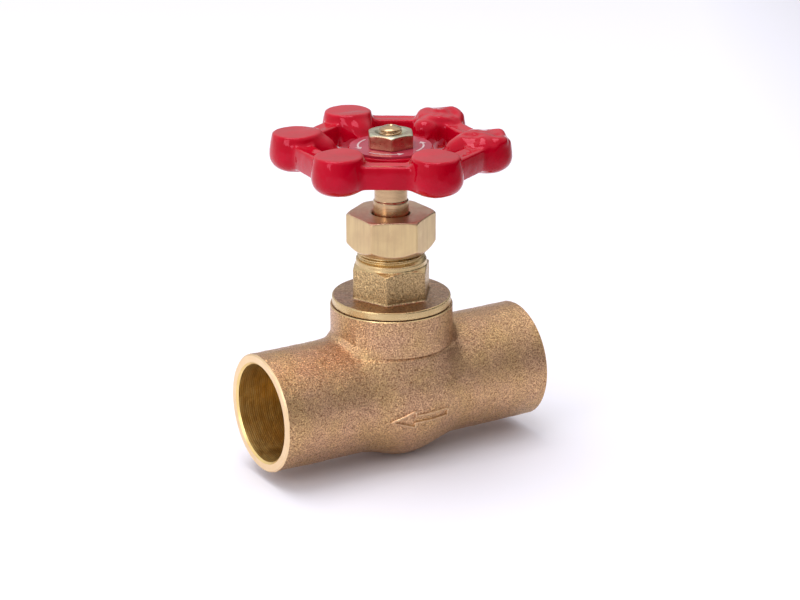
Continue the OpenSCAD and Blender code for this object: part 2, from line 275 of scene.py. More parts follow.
def loop_faces(turns, m):
    """Faces of a closed loop of sections, each with m points."""
    faces = []
    for i in range(turns):
        for j in range(m):
            a, b = i * m + j, i * m + (j + 1) % m
            c, d = (i + 1) % turns * m + (j + 1) % m, (i + 1) % turns * m + j
            faces.append((a, b, c, d))
    return faces


def tube_ring(name, section, turns=128):
    """A ring from a closed (radius, height) section."""
    points = []
    for i in range(turns):
        a = 2 * math.pi * i / turns
        points += [(r * math.cos(a), r * math.sin(a), h) for r, h in section]
    obj = new_object(name, points, loop_faces(turns, len(section)))
    outward(obj)
    return obj


def outward(obj):
    """Turns every face outward on a closed mesh."""
    bm = bmesh.new()
    bm.from_mesh(obj.data)
    bmesh.ops.recalc_face_normals(bm, faces=bm.faces)
    if bm.calc_volume(signed=True) < 0:
        bmesh.ops.reverse_faces(bm, faces=bm.faces)
    bm.to_mesh(obj.data)
    bm.free()


def cut(obj, cutter, look=0, operation="DIFFERENCE"):
    """Applies a boolean with a closed cutter, whose faces get the look of that number."""
    paint(cutter, list(obj.data.materials), np.full(len(cutter.data.polygons), look))
    mod = obj.modifiers.new("cut", "BOOLEAN")
    mod.operation = operation
    mod.solver = "MANIFOLD"
    mod.object = cutter
    apply_modifiers(obj)
    bpy.data.objects.remove(cutter)


def apply_modifiers(obj):
    """Puts the result of an object's modifiers in its mesh."""
    graph = bpy.context.evaluated_depsgraph_get()
    mesh = bpy.data.meshes.new_from_object(obj.evaluated_get(graph))
    obj.modifiers.clear()
    obj.data = mesh


def smooth(obj, degrees):
    """Smooth shading with creases sharper than this angle kept."""
    obj.data.shade_smooth()
    obj.data.set_sharp_from_angle(angle=math.radians(degrees))


def face_facts(obj):
    """Centres in millimetres about the axis crossing, and normals, of an object's faces."""
    count = len(obj.data.polygons)
    centres = np.empty(count * 3)
    normals = np.empty(count * 3)
    obj.data.polygons.foreach_get("center", centres)
    obj.data.polygons.foreach_get("normal", normals)
    return centres.reshape(-1, 3) / MM - [0, 0, AXIS_Z], normals.reshape(-1, 3)


def paint(obj, materials, index=None):
    """Gives an object its materials, and each face its number among them."""
    obj.data.materials.clear()
    for m in materials:
        obj.data.materials.append(m)
    if index is not None:
        obj.data.polygons.foreach_set("material_index", np.asarray(index, dtype=np.int32))


# ---------------------------------------------------------------- materials


class Nodes:
    """Adds nodes to a tree."""

    def __init__(self, tree):
        self.tree = tree

    def add(self, kind, inputs=None, **settings):
        node = self.tree.nodes.new(kind)
        for key, value in settings.items():
            setattr(node, key, value)
        for key, value in (inputs or {}).items():
            if isinstance(value, bpy.types.NodeSocket):
                self.tree.links.new(value, node.inputs[key])
            else:
                node.inputs[key].default_value = value
        return node


class Paint(Nodes):
    """Builds one node material."""

    def __init__(self, name, **constants):
        self.material = bpy.data.materials.new(name)
        self.material.use_nodes = True
        super().__init__(self.material.node_tree)
        self.shader = self.tree.nodes["Principled BSDF"]
        for key, value in constants.items():
            self.shader.inputs[key.replace("_", " ")].default_value = value
        self.place = self.add("ShaderNodeTexCoord").outputs["Object"]

    def noise(self, size_mm, detail=2.0, stretch=None, roughness=0.5):
        """Noise from 0 to 1 whose features are about size_mm across."""
        place = self.place
        if stretch:
            mapping = self.add("ShaderNodeMapping", {"Vector": place, "Scale": stretch})
            place = mapping.outputs[0]
        node = self.add(
            "ShaderNodeTexNoise",
            {"Vector": place, "Scale": 1 / (size_mm * MM), "Detail": detail, "Roughness": roughness},
        )
        return node.outputs["Fac"]

    def ramp(self, value, stops):
        """A colour ramp: stops are (place, (r, g, b))."""
        node = self.add("ShaderNodeValToRGB", {"Fac": value})
        elements = node.color_ramp.elements
        while len(elements) < len(stops):
            elements.new(0.5)
        for element, (at, colour) in zip(elements, stops):
            element.position = at
            element.color = (*colour, 1)
        return node.outputs["Color"]

    def scale(self, value, low, high, from_low=0.0, from_high=1.0):
        node = self.add(
            "ShaderNodeMapRange",
            {"Value": value, "From Min": from_low, "From Max": from_high, "To Min": low, "To Max": high},
        )
        return node.outputs["Result"]

    def math(self, operation, a, b=0.0):
        node = self.add("ShaderNodeMath", {0: a, 1: b}, operation=operation)
        return node.outputs[0]

    def mix(self, factor, a, b, mode="MIX"):
        node = self.add("ShaderNodeMix", data_type="RGBA", blend_type=mode)
        for socket, value in ((node.inputs[0], factor), (node.inputs[6], a), (node.inputs[7], b)):
            if isinstance(value, bpy.types.NodeSocket):
                self.tree.links.new(value, socket)
            elif isinstance(value, tuple):
                socket.default_value = (*value, 1)
            else:
                socket.default_value = value
        return node.outputs[2]

    def link(self, value, socket):
        self.tree.links.new(value, self.shader.inputs[socket])

    def bump(self, height, distance_mm, strength=1.0, under=None):
        inputs = {"Height": height, "Distance": distance_mm * MM, "Strength": strength}
        if under is not None:
            inputs["Normal"] = under
        return self.add("ShaderNodeBump", inputs).outputs["Normal"]

    def axis_radius(self, about):
        """Distance from the stem axis ("z") or the pipe axis ("x"), in metres."""
        parts = self.add("ShaderNodeSeparateXYZ", {"Vector": self.place})
        a, b = ("X", "Y") if about == "z" else ("Y", "Z")
        second = parts.outputs[b]
        if about == "x":
            second = self.math("SUBTRACT", second, AXIS_Z * MM)
        first_square = self.math("POWER", parts.outputs[a], 2.0)
        second_square = self.math("POWER", second, 2.0)
        return self.math("SQRT", self.math("ADD", first_square, second_square))

    def tree_normal(self):
        return self.add("ShaderNodeTexCoord").outputs["Normal"]

    def coordinate(self, letter):
        return self.add("ShaderNodeSeparateXYZ", {"Vector": self.place}).outputs[letter]


def cast_metal(name, pink, gold, dark, contrast=0.82, bump_mm=0.16, rough=(0.25, 0.46)):
    """Sand-cast copper alloy: a fine sandy grain with golden crests and browner pits."""
    p = Paint(name, Metallic=1.0)
    grain = p.noise(0.33, detail=4.0, roughness=0.65)
    patches = p.noise(7.0, detail=3.0)
    base = p.mix(p.scale(patches, 0, 1, 0.35, 0.65), pink, gold)
    sandy = p.ramp(grain, [(0.32, dark), (0.5, (0.5, 0.5, 0.5)), (0.66, (1.0, 0.98, 0.90))])
    p.link(p.mix(contrast, base, sandy, "OVERLAY"), "Base Color")
    p.link(p.scale(grain, rough[1], rough[0], 0.35, 0.65), "Roughness")
    coarse = p.bump(p.noise(1.5, detail=2.0), 0.16, 0.6)
    p.link(p.bump(grain, bump_mm, 1.0, coarse), "Normal")
    return p.material


def turned_metal(name, colour, shade, about, pitch_mm=0.22, rough=0.24, bump_mm=0.012, groove_shade=0.0):
    """Turned metal with fine circular tool marks about an axis, with painted shade in the grooves."""
    p = Paint(name, Metallic=1.0)
    radius = p.axis_radius(about)
    along = p.coordinate("Z" if about == "z" else "X")
    wander = p.noise(3.0, detail=2.0)
    track = p.math("ADD", p.math("ADD", radius, along), p.math("MULTIPLY", wander, 0.3 * MM))
    wave = p.math("SINE", p.math("MULTIPLY", track, 2 * math.pi / (pitch_mm * MM)))
    coarse = p.math("SINE", p.math("MULTIPLY", track, 2 * math.pi / (pitch_mm * 3.7 * MM)))
    marks = p.math("ADD", wave, p.math("MULTIPLY", coarse, 0.6))
    stain = p.noise(3.5, detail=2.0)
    base = p.mix(p.scale(stain, 0, 1, 0.3, 0.7), colour, shade)
    # Painted shade: the tool-mark grooves darken toward the shade colour, and further by the groove factor
    groove_shaded = tuple(c * (1 - groove_shade) for c in shade)
    p.link(p.mix(p.scale(marks, 1.0, 0.0, -1.3, 0.6), base, groove_shaded), "Base Color")
    p.link(p.scale(p.noise(1.5, detail=1.0), rough * 0.85, rough * 1.25, 0.3, 0.7), "Roughness")
    p.link(p.bump(marks, bump_mm, 0.6), "Normal")
    return p.material


def drawn_brass(name):
    """Drawn hexagon bar: faint lines along the stem axis, dull where handled."""
    p = Paint(name, Metallic=1.0)
    lines = p.noise(0.5, detail=3.0, stretch=(1, 1, 0.04))
    cloud = p.noise(4.0, detail=3.0)
    base = p.mix(p.scale(cloud, 0, 1, 0.35, 0.68), (0.66, 0.49, 0.255), (0.58, 0.41, 0.22))
    p.link(p.mix(p.scale(lines, 0.0, 0.3, 0.45, 0.75), base, (0.50, 0.36, 0.22)), "Base Color")
    p.link(p.scale(lines, 0.26, 0.42, 0.3, 0.7), "Roughness")
    p.link(p.bump(lines, 0.02, 0.5), "Normal")
    return p.material


def red_enamel(name, base=(0.40, 0.0, 0.009), bright=(0.47, 0.0005, 0.014), gloss=0.055):
    """Thick glossy enamel, patchy in tone and gloss, with a gentle flow in its surface."""
    p = Paint(name, Metallic=0.0)
    p.shader.inputs["Specular IOR Level"].default_value = 0.5
    p.shader.inputs["Specular Tint"].default_value = (1.0, 0.30, 0.42, 1)
    p.link(p.mix(p.scale(p.noise(7.0, detail=2.0), 0, 1, 0.35, 0.65), base, bright), "Base Color")
    p.link(p.scale(p.noise(1.5, detail=3.0), gloss * 0.8, gloss * 1.4, 0.3, 0.7), "Roughness")
    flow = p.bump(p.noise(2.6, detail=1.0), 0.07, 0.6)
    p.link(p.bump(p.noise(0.6, detail=2.0), 0.006, 0.7, flow), "Normal")
    return p.material


def plated_steel(name):
    """Zinc plating with a pale passivate, patchy in tone; the side faces carry a painted coppery
    reflection of the red wheel.
    """
    p = Paint(name, Metallic=1.0)
    stain = p.noise(3.0, detail=2.0)
    places = (0.35, 0.52, 0.68)
    silvery = ((0.50, 0.50, 0.36), (0.56, 0.52, 0.38), (0.50, 0.40, 0.27))
    # Painted reflection: coppery colours that stand in for the red wheel mirrored in the side faces
    coppery_wheel_reflection = ((0.66, 0.38, 0.26), (0.56, 0.33, 0.21), (0.58, 0.42, 0.25))
    tops = p.ramp(stain, list(zip(places, silvery)))
    sides = p.ramp(stain, list(zip(places, coppery_wheel_reflection)))
    upright = p.math("ABSOLUTE", p.add("ShaderNodeSeparateXYZ", {0: p.tree_normal()}).outputs["Z"])
    # Side faces take the painted reflection, flat tops the pale passivate
    p.link(p.mix(p.scale(upright, 0, 1, 0.3, 0.6), sides, tops), "Base Color")
    p.link(p.scale(p.noise(0.8, detail=2.0), 0.26, 0.38, 0.3, 0.7), "Roughness")
    p.link(p.bump(p.noise(0.5, detail=2.0), 0.008, 0.5), "Normal")
    return p.material


def plain_soft(name, colour, other, grain_mm, rough):
    """Rubber, fibre or graphite yarn, by its grain."""
    p = Paint(name, Metallic=0.0)
    grain = p.noise(grain_mm, detail=4.0)
    p.link(p.mix(p.scale(grain, 0, 1, 0.3, 0.7), colour, other), "Base Color")
    p.link(p.scale(grain, rough * 0.9, min(rough * 1.2, 1.0), 0.3, 0.7), "Roughness")
    p.link(p.bump(grain, 0.05, 0.8), "Normal")
    return p.material


CAST = cast_metal("cast_bronze", (0.515, 0.313, 0.187), (0.522, 0.33, 0.165), (0.13, 0.08, 0.05))
CAST_HEX = cast_metal("cast_bronze_hex", (0.45, 0.31, 0.16), (0.49, 0.35, 0.18), (0.12, 0.09, 0.04), 0.75)
# Painted highlight: a brighter, smoother copy of the cast bronze for the raised flow arrow
CREST_PIT = (0.2, 0.14, 0.08)
CAST_CREST_HIGHLIGHT = cast_metal("cast_bronze_crest_painted_highlight", (0.64, 0.41, 0.25), (0.66, 0.44, 0.25), CREST_PIT, 0.5, 0.05)
# Painted shade: a darker copy of the cast bronze for the flange top round the hexagon
TOP_PIT = (0.16, 0.10, 0.07)
CAST_TOP_SHADED = cast_metal("cast_bronze_top_painted_shade", (0.36, 0.22, 0.15), (0.39, 0.255, 0.155), TOP_PIT, 0.7, 0.05)
FACED = turned_metal("faced_bronze", (0.90, 0.68, 0.41), (0.84, 0.61, 0.35), "x", rough=0.34)
BORED = turned_metal("bored_bronze", (0.90, 0.68, 0.29), (0.82, 0.59, 0.24), "x", 0.5, 0.36, 0.014, 0.2)
TURNED = turned_metal("turned_bronze", (0.70, 0.52, 0.27), (0.60, 0.43, 0.21), "z", rough=0.26)
STEM = turned_metal("stem_brass", (0.60, 0.41, 0.23), (0.50, 0.33, 0.185), "z", 0.33, 0.22, 0.005, 0.15)
INNER = turned_metal("internal_brass", (0.80, 0.62, 0.32), (0.72, 0.52, 0.26), "z", rough=0.30)
NUT = drawn_brass("nut_brass")
NUT_TOP = turned_metal("nut_brass_top", (0.78, 0.59, 0.40), (0.68, 0.50, 0.34), "z", 0.35, 0.34, 0.008)
ENAMEL = red_enamel("red_enamel")
PLATE = red_enamel("plate_enamel", (0.33, 0.02, 0.045), (0.40, 0.035, 0.065), 0.14)
PLATED = plated_steel("plated_nut")
INK = plain_soft("worn_white_ink", (0.62, 0.52, 0.52), (0.42, 0.20, 0.22), 0.6, 0.45)
GASKET = plain_soft("gasket_fibre", (0.17, 0.105, 0.05), (0.24, 0.15, 0.075), 0.3, 0.8)
PACKING = plain_soft("graphite_packing", (0.04, 0.04, 0.045), (0.11, 0.11, 0.12), 0.6, 0.5)
RUBBER = plain_soft("seat_rubber", (0.012, 0.012, 0.012), (0.03, 0.03, 0.03), 0.4, 0.6)


# ---------------------------------------------------------------- the body casting

BELLY_R = 13.9
BELLY_BOTTOM = 16.0
BELLY_EDGE = 9.4
# The belly draws in by this much for each millimetre above this height
BELLY_TAPER = 0.12
TAPER_FROM_Z = 3.0
# Foot of the neck, where a crease runs round above the root of the casting
LEDGE_Z = 11.3
ROOT_R = 13.58
CREASE_DEPTH = 0.62
CREASE_WIDTH = 0.42
# Low pad that the neck stands on, over the tube
PAD_R = 14.2
PAD_RISE = 0.6
PAD_FOOT_Z = 3.0
# Fillet between tube and belly: over and under the tube, and at its front and back
FLARE_SIDE = 2.4
FLARE_FRONT = 6.5
# Passages
BRIDGE_UNDER = -4.7
BRIDGE_TOP = -2.5
SEAT_TOP = -1.7
ORIFICE_R = 7
SEAT_LIP_R = 8.3
CHAMBER_R = 10.2
NECK_THREAD_R = 11.2
POCKET_FLOOR = -13.4
BODY_STEP = 0.32
CAST_LOOK, FACED_LOOK, BORED_LOOK, TURNED_LOOK = range(4)


def body_field(g):
    """Outside of the casting below the neck: tube, belly and the root of the neck."""
    tube = np.sqrt(g.y**2 + g.z**2) - TUBE_R
    drawn_in = BELLY_TAPER * np.maximum(g.z - TAPER_FROM_Z, 0)
    belly = round_rod(g.r + drawn_in, g.z, BELLY_R, -BELLY_BOTTOM, LEDGE_Z - 0.1, BELLY_EDGE, 1.1)
    crease = CREASE_DEPTH * np.exp(-(((g.z - LEDGE_Z) / CREASE_WIDTH) ** 2))
    root = np.maximum(g.r - ROOT_R + crease, np.maximum(-g.z, g.z - LEDGE_Z - 6))
    facing = g.y**2 / (g.r**2 + 1)
    cast = blend(tube, np.minimum(belly, root), FLARE_SIDE + (FLARE_FRONT - FLARE_SIDE) * facing)
    pad = carve(g.r - PAD_R, np.maximum(tube - PAD_RISE, PAD_FOOT_Z - g.z), 0.5)
    cast = blend(cast, pad, 1.0)
    return np.maximum(cast, BODY_LOW[2] - g.z)


def link_outline(low, high):
    """Half-round outline of a link between port and chamber, cut at two heights."""
    outline = []
    for i in range(49):
        a = 2 * math.pi * i / 48
        y, z = PORT_R * math.cos(a), PORT_R * math.sin(a)
        outline.append((y, min(max(z, low), high)))
    kept = []
    for point in outline:
        if not kept or math.dist(point, kept[-1]) > 0.05:
            kept.append(point)
    if math.dist(kept[0], kept[-1]) < 0.05:
        kept.pop()
    return kept


def make_body():
    half = BODY_HIGH[0]
    top = BODY_HIGH[2]
    g = Grid((-half - 1.5, -16.2, BODY_LOW[2] - 0.8), (half + 1.5, 16.2, LEDGE_Z + 7), BODY_STEP)
    body = skin("valve_casting", g, body_field(g))
    roughen(body, [(0.05, 1.1, 3), (0.10, 5.0, 4)], lambda p: p[:, 2] > BODY_LOW[2] + 0.3)
    paint(body, [CAST, FACED, BORED, TURNED])
    neck = [(0, LEDGE_Z), (NECK_R - 0.25, LEDGE_Z), (NECK_R, LEDGE_Z + 0.2), (NECK_R, top), (0, top)]
    cut(body, lathe("neck", neck), CAST_LOOK, "UNION")
    for side in (1, -1):
        # Facing tool: leaves a flat end with a small broken outer edge
        facing = [(0, half), (TUBE_R - 0.35, half), (TUBE_R + 0.1, half - 0.4)]
        facing += [(20, half - 0.4), (20, 40), (0, 40)]
        cut(body, lathe("facing", [(r, side * h) for r, h in facing], "x"), FACED_LOOK)
        # Cup with a bevelled mouth, tube stop and port
        stop = half - CUP_DEPTH
        bore = [(0, WALL_X), (PORT_R, WALL_X), (PORT_R, stop), (CUP_R, stop), (CUP_R, half - 0.45)]
        bore += [(CUP_R + 0.45, half), (CUP_R + 0.95, half + 0.5), (0, half + 0.5)]
        cut(body, lathe("bore", [(r, side * h) for r, h in bore], "x"), BORED_LOOK)
    neck_tool = [(0, top), (NECK_R - 0.18, top), (NECK_R + 0.05, top - 0.23)]
    neck_tool += [(22, top - 0.23), (22, 30), (0, 30)]
    cut(body, lathe("neck_facing", neck_tool), TURNED_LOOK)
    chamber = [(0, BRIDGE_TOP), (CHAMBER_R, BRIDGE_TOP), (CHAMBER_R, 11.6), (NECK_THREAD_R, 11.6)]
    flared = NECK_THREAD_R + 0.5
    chamber += [(NECK_THREAD_R, top - 0.4), (flared, top + 0.1), (flared, 25), (0, 25)]
    cut(body, lathe("chamber", chamber), BORED_LOOK)
    pocket = [(0, POCKET_FLOOR), (5.0, POCKET_FLOOR), (8.2, -12.2), (CHAMBER_R, -10.4)]
    pocket += [(CHAMBER_R, BRIDGE_UNDER), (0, BRIDGE_UNDER)]
    cut(body, lathe("pocket", pocket), CAST_LOOK)
    cut(body, prism("inlet_link", link_outline(-PORT_R, BRIDGE_UNDER), 0, WALL_X + 0.2), CAST_LOOK)
    cut(body, prism("outlet_link", link_outline(BRIDGE_TOP, PORT_R), -WALL_X - 0.2, 0), CAST_LOOK)
    cut(body, lathe("orifice", [(0, -6), (ORIFICE_R, -6), (ORIFICE_R, -1), (0, -1)]), TURNED_LOOK)
    seat = [(ORIFICE_R, BRIDGE_TOP - 0.3), (SEAT_LIP_R, BRIDGE_TOP - 0.3), (SEAT_LIP_R, SEAT_TOP - 0.2)]
    seat += [(SEAT_LIP_R - 0.2, SEAT_TOP), (ORIFICE_R, SEAT_TOP)]
    cut(body, tube_ring("seat_lip", seat), TURNED_LOOK, "UNION")
    smooth(body, 35)
    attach(body, "body")
    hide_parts("valve_body")
    return body


# ---------------------------------------------------------------- flow arrow

ARROW_TIP_X = -8.2
ARROW_LENGTH = 14.3
ARROW_HEAD = 5.6
ARROW_HEAD_W = 4.0
ARROW_SHAFT_W = 1.7
ARROW_DROP = 2.9
ARROW_LINE = 0.64
ARROW_HEIGHT = 0.46


def arrow_path():
    """Closed corner path of the arrow's outline in x and z."""
    neck = ARROW_TIP_X + ARROW_HEAD
    tail = ARROW_TIP_X + ARROW_LENGTH
    h, s = ARROW_HEAD_W / 2, ARROW_SHAFT_W / 2
    corners = [(ARROW_TIP_X, 0), (neck, h), (neck, s), (tail, s), (tail, -s), (neck, -s), (neck, -h)]
    return [Vector((x, z - ARROW_DROP)) for x, z in corners]


def make_arrow(body):
    """A raised outline that lies on the casting; section is (across, up) in shares of line and height."""
    corners = arrow_path()
    path = []
    for a, b in zip(corners, corners[1:] + corners[:1]):
        steps = max(2, round((b - a).length / 0.35))
        path += [a.lerp(b, i / steps) for i in range(steps)]
    n = len(path)
    section = [(-0.55, -0.6), (-0.5, 0.0), (-0.26, 0.85), (0, 1.0), (0.26, 0.85), (0.5, 0.0), (0.55, -0.6)]
    points = []
    graph = bpy.context.evaluated_depsgraph_get()
    surface = body.evaluated_get(graph)
    for i in range(n):
        tangent = (path[(i + 1) % n] - path[i - 1]).normalized()
        side = Vector((tangent.y, -tangent.x))
        for across, up in section:
            at = path[i] + side * across * ARROW_LINE
            start = Vector((at.x, -25, at.y + AXIS_Z)) * MM
            where = surface.ray_cast(start, Vector((0, 1, 0)))[1]
            point = np.array(where) / MM - [0, 0, AXIS_Z]
            point[1] -= up * ARROW_HEIGHT
            points.append(point)
    arrow = new_object("flow_arrow", points, loop_faces(n, len(section)))
    outward(arrow)
    roughen(arrow, [(0.05, 0.8, 9)])
    # Painted highlight: the raised arrow takes a brighter copy of the cast bronze than the casting round
    # it
    paint(arrow, [CAST_CREST_HIGHLIGHT])
    smooth(arrow, 60)
    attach(arrow, "body")


# ---------------------------------------------------------------- bonnet and packing nut

FLANGE_TOP = 22.2
HEX_CORNER_Z = 28.84
COLLAR_R = 8.0
COLLAR_TOP = 31.0
GLAND_THREAD_R = 7.7
GLAND_PITCH = 1.06
BONNET_AF = 16.4
NUT_AF = 17.66
# How far the flange reaches down outside the gasket, which leaves a narrow seam
SEAM_LIP = 0.2


def bonnet_field(g):
    """Flange, hexagon, collar, gland thread and skirt, less the bores."""
    flange = carve(g.r - BONNET_HIGH[0], slab(g.z, GASKET_HIGH[2], FLANGE_TOP), 0.3)
    lip = np.maximum(g.r - BONNET_HIGH[0], GASKET_HIGH[0] + 0.15 - g.r)
    lip = carve(lip, slab(g.z, GASKET_HIGH[2] - SEAM_LIP, FLANGE_TOP - 0.7), 0.06)
    flange = np.minimum(flange, lip)
    bar = hexagon(g, BONNET_AF, BONNET_ANGLE, 0.5)
    cone = (g.r - COLLAR_R - (HEX_CORNER_Z + 0.85 - g.z) * 1.73) * 0.5
    hexa = carve(np.maximum(bar, cone), slab(g.z, FLANGE_TOP - 0.5, COLLAR_TOP - 0.3), 0.2)
    collar = carve(g.r - COLLAR_R, slab(g.z, FLANGE_TOP, COLLAR_TOP), 0.35)
    thread = screw(g, GLAND_THREAD_R, 0.55, GLAND_PITCH)
    thread = np.maximum(thread, slab(g.z, COLLAR_TOP - 0.4, BONNET_HIGH[2]))
    thread = carve(thread, g.r - GLAND_THREAD_R - (BONNET_HIGH[2] - 0.6 - g.z), 0.1)
    skirt = carve(g.r - 11.15, slab(g.z, BONNET_LOW[2], FLANGE_TOP - 1), 0.4)
    d = blend(blend(flange, hexa, 0.7), collar, 0.15)
    d = np.minimum(np.minimum(d, thread), skirt)
    recess = np.maximum(g.r - 8.95, g.z - 15.3)
    lift_thread = np.maximum(g.r - 5.2, g.z - 25.8)
    box = np.maximum(g.r - 6.0, 27.0 - g.z)
    hollow = np.minimum(np.minimum(recess, lift_thread), np.minimum(box, g.r - 4.07))
    return np.maximum(d, -hollow)


def make_bonnet():
    g = Grid((-14.2, -14.2, BONNET_LOW[2] - 0.6), (14.2, 14.2, BONNET_HIGH[2] + 0.6), 0.17)
    bonnet = skin("bonnet_part", g, bonnet_field(g))

    def cast_only(p):
        r = np.hypot(p[:, 0], p[:, 1])
        on_hex = (p[:, 2] > FLANGE_TOP + 0.2) & (p[:, 2] < HEX_CORNER_Z - 0.2) & (r > 7)
        on_top = (np.abs(p[:, 2] - FLANGE_TOP) < 0.2) & (r < 12.9) & (r > 7)
        return np.where(on_hex | on_top, 1.0, 0.0)

    roughen(bonnet, [(0.045, 0.9, 5), (0.06, 3.0, 6)], cast_only)
    centres, normals = face_facts(bonnet)
    r = np.hypot(centres[:, 0], centres[:, 1])
    index = np.full(len(centres), 2)
    on_hex = (centres[:, 2] > FLANGE_TOP + 0.12) & (centres[:, 2] < COLLAR_TOP - 0.6) & (r > 7)
    outer = r > COLLAR_R + (HEX_CORNER_Z + 0.85 - centres[:, 2]) * 1.73 - 0.15
    index[on_hex & ~outer & (np.abs(normals[:, 2]) < 0.5)] = 0
    # Painted shade: the flange top round the hexagon takes the darker copy of the cast bronze
    on_flange = (np.abs(centres[:, 2] - FLANGE_TOP) < 0.35) & (normals[:, 2] > 0.6)
    index[on_flange & (r < BONNET_HIGH[0] - 0.3)] = 1
    paint(bonnet, [CAST_HEX, CAST_TOP_SHADED, TURNED], index)
    smooth(bonnet, 50)
    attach(bonnet, "body")
    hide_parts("bonnet")


def packing_nut_field(g):
    """A hexagon chamfered at both ends, bored for the thread, the gland and the stem."""
    bar = hexagon(g, NUT_AF, NUT_ANGLE, 0.35)
    low, high = NUT_LOW[2], NUT_HIGH[2]
    corner = NUT_AF / 2 / math.cos(math.radians(30))
    under = (g.r - (corner - 2.5) - (g.z - low) * 1.22) * 0.63
    over = (g.r - (corner - 0.7) - (high - g.z) * 1.73) * 0.5
    d = carve(bar, slab(g.z, low, high), 0.25)
    d = carve(carve(d, under, 0.25), over, 0.25)
    inner = np.maximum(g.r - 7.76, g.z - GLAND_HIGH[2])
    hole = np.minimum(g.r - 4.27, (g.r - 4.27 - (g.z - high + 0.35)) * 0.7)
    return carve(d, -np.minimum(inner, hole), 0.15)


def make_packing_nut():
    g = Grid((-11, -11, NUT_LOW[2] - 0.5), (11, 11, NUT_HIGH[2] + 0.5), 0.15)
    nut = skin("gland_nut", g, packing_nut_field(g))
    centres, normals = face_facts(nut)
    r = np.hypot(centres[:, 0], centres[:, 1])
    index = np.where(np.abs(normals[:, 2]) > 0.35, 1, 0)
    index[r < 7.9] = 1
    paint(nut, [NUT, NUT_TOP], index)
    smooth(nut, 50)
    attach(nut, "body")
    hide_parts("packing_nut")


# ---------------------------------------------------------------- stem, wheel nut

STEP_Z = 44.65
STEM_R = 3.97
STEM_TOP_R = 3.71
STUD_R = 2.6
STUD_PITCH = 0.8
LIFT_R = 5.1
LIFT_LOW = 15.6
LIFT_HIGH = 25.4
LIFT_PITCH = 1.5
SQUARE_HALF = 2.6
TOP_NUT_AF = 9.7


def stem_field(g):
    """From below: head, neck, lift thread, shank, upper shank, square and stud."""
    head = carve(g.r - 4.6, slab(g.z, STEM_LOW[2], STEM_LOW[2] + 1.4), 0.3)
    neck = np.maximum(g.r - 3.2, slab(g.z, STEM_LOW[2] + 1, 16.4))
    lift = np.maximum(screw(g, LIFT_R, 0.7, LIFT_PITCH), slab(g.z, LIFT_LOW, LIFT_HIGH))
    lift = np.maximum(lift, np.maximum(g.r - 4.1 - (LIFT_HIGH - g.z), g.r - 4.1 - (g.z - LIFT_LOW)))
    shank = carve(g.r - STEM_R, slab(g.z, 25, STEP_Z), 0.4)
    upper = np.maximum(g.r - STEM_TOP_R, slab(g.z, STEP_Z - 0.5, WHEEL_LOW[2] + 1.3))
    u, v = g.turned(KNOB_ANGLE)
    square = round_box(u, v, g.z - 54, (SQUARE_HALF, SQUARE_HALF, 2.4), 0.2)
    stud = np.maximum(screw(g, STUD_R, 0.42, STUD_PITCH), slab(g.z, 56, STEM_HIGH[2]))
    dome = g.r**2 / 9.0 + (g.z - STEM_HIGH[2])
    dimple = 0.9 - np.sqrt(g.r**2 + (g.z - STEM_HIGH[2] - 0.55) ** 2)
    stud = np.maximum(np.maximum(stud, dome * 0.7), dimple)
    d = np.minimum(np.minimum(head, neck), np.minimum(lift, shank))
    return np.minimum(np.minimum(d, upper), np.minimum(square, stud))


def make_stem():
    g = Grid((-5.7, -5.7, STEM_LOW[2] - 0.5), (5.7, 5.7, STEM_HIGH[2] + 0.5), 0.13)
    stem = skin("valve_stem", g, stem_field(g))
    paint(stem, [STEM])
    smooth(stem, 50)
    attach(stem, "stem_assembly")
    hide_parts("stem")


def wheel_nut_field(g):
    """A hexagon chamfered on top, its hole countersunk round the stud."""
    low, high = TOP_NUT_LOW[2], TOP_NUT_HIGH[2]
    bar = hexagon(g, TOP_NUT_AF, TOP_NUT_ANGLE, 0.35)
    corner = TOP_NUT_AF / 2 / math.cos(math.radians(30))
    over = (g.r - (corner - 0.75) - (high - g.z) * 1.73) * 0.5
    d = carve(carve(bar, slab(g.z, low, high), 0.2), over, 0.2)
    sink = (g.r - 3.55 + (high - g.z)) * 0.7
    hole = np.minimum(g.r - STUD_R - 0.05, sink)
    return carve(d, -hole, 0.12)


def make_wheel_nut():
    g = Grid((-6.2, -6.2, TOP_NUT_LOW[2] - 0.4), (6.2, 6.2, TOP_NUT_HIGH[2] + 0.4), 0.12)
    nut = skin("top_nut", g, wheel_nut_field(g))
    paint(nut, [PLATED])
    smooth(nut, 50)
    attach(nut, "stem_assembly")
    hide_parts("wheel_nut")


# ---------------------------------------------------------------- handwheel

KNOB_CIRCLE_R = 21.0
KNOB_R = 6.0
KNOB_TOP = WHEEL_HIGH[2]
KNOB_BOTTOM = WHEEL_LOW[2]
KNOB_WAIST = KNOB_BOTTOM + 3.3
BAR_MID_R = 18.9
BAR_W = 4.9
BAR_H = 5.2
BAR_MID_Z = 55.55
HUB_R = 9.6
HUB_TOP = PLATE_LOW[2]
HUB_BOTTOM = 52.5
HUMP_R = 14.9
ARM_TOP_AT_HUB = 55.2
ARM_CLIMB = 0.26
ROUGH_KNOBS = (0, 5)
UPRIGHT_KNOB = 0
# Hump between arm and knob as radius, top and fillet: against most knobs, and against the upright one
HUMP = (3.0, 58.5, 3.4)
UPRIGHT_HUMP = (3.2, 59.6, 0.8)
SOCKET_HALF = 2.65


